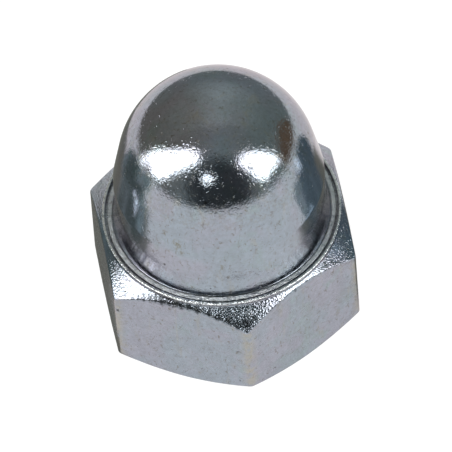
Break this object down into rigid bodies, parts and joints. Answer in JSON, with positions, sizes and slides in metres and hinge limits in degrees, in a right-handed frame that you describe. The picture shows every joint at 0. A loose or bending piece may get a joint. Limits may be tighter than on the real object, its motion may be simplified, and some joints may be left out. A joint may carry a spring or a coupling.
{
  "type": "cap nut",
  "caption": "Domed cap nut: a chamfered hexagon with a turned collar and a closed round head over a blind threaded hole.",
  "frame": {"origin": "centre of the bearing face, the flat ring that the nut stands on", "axes": "+Z along the thread axis towards the top of the dome; +X and -X square to two opposite flats"},
  "size_m": [0.01, 0.0114, 0.012],
  "materials": {
    "zinc_plated_steel": "bright zinc plate with a bluish passivation, grainy on the chamfers and lightly stained and worn on the edges"
  },
  "bodies": {
    "root": {"cap_nut": "zinc_plated_steel"}
  },
  "joints": []
}
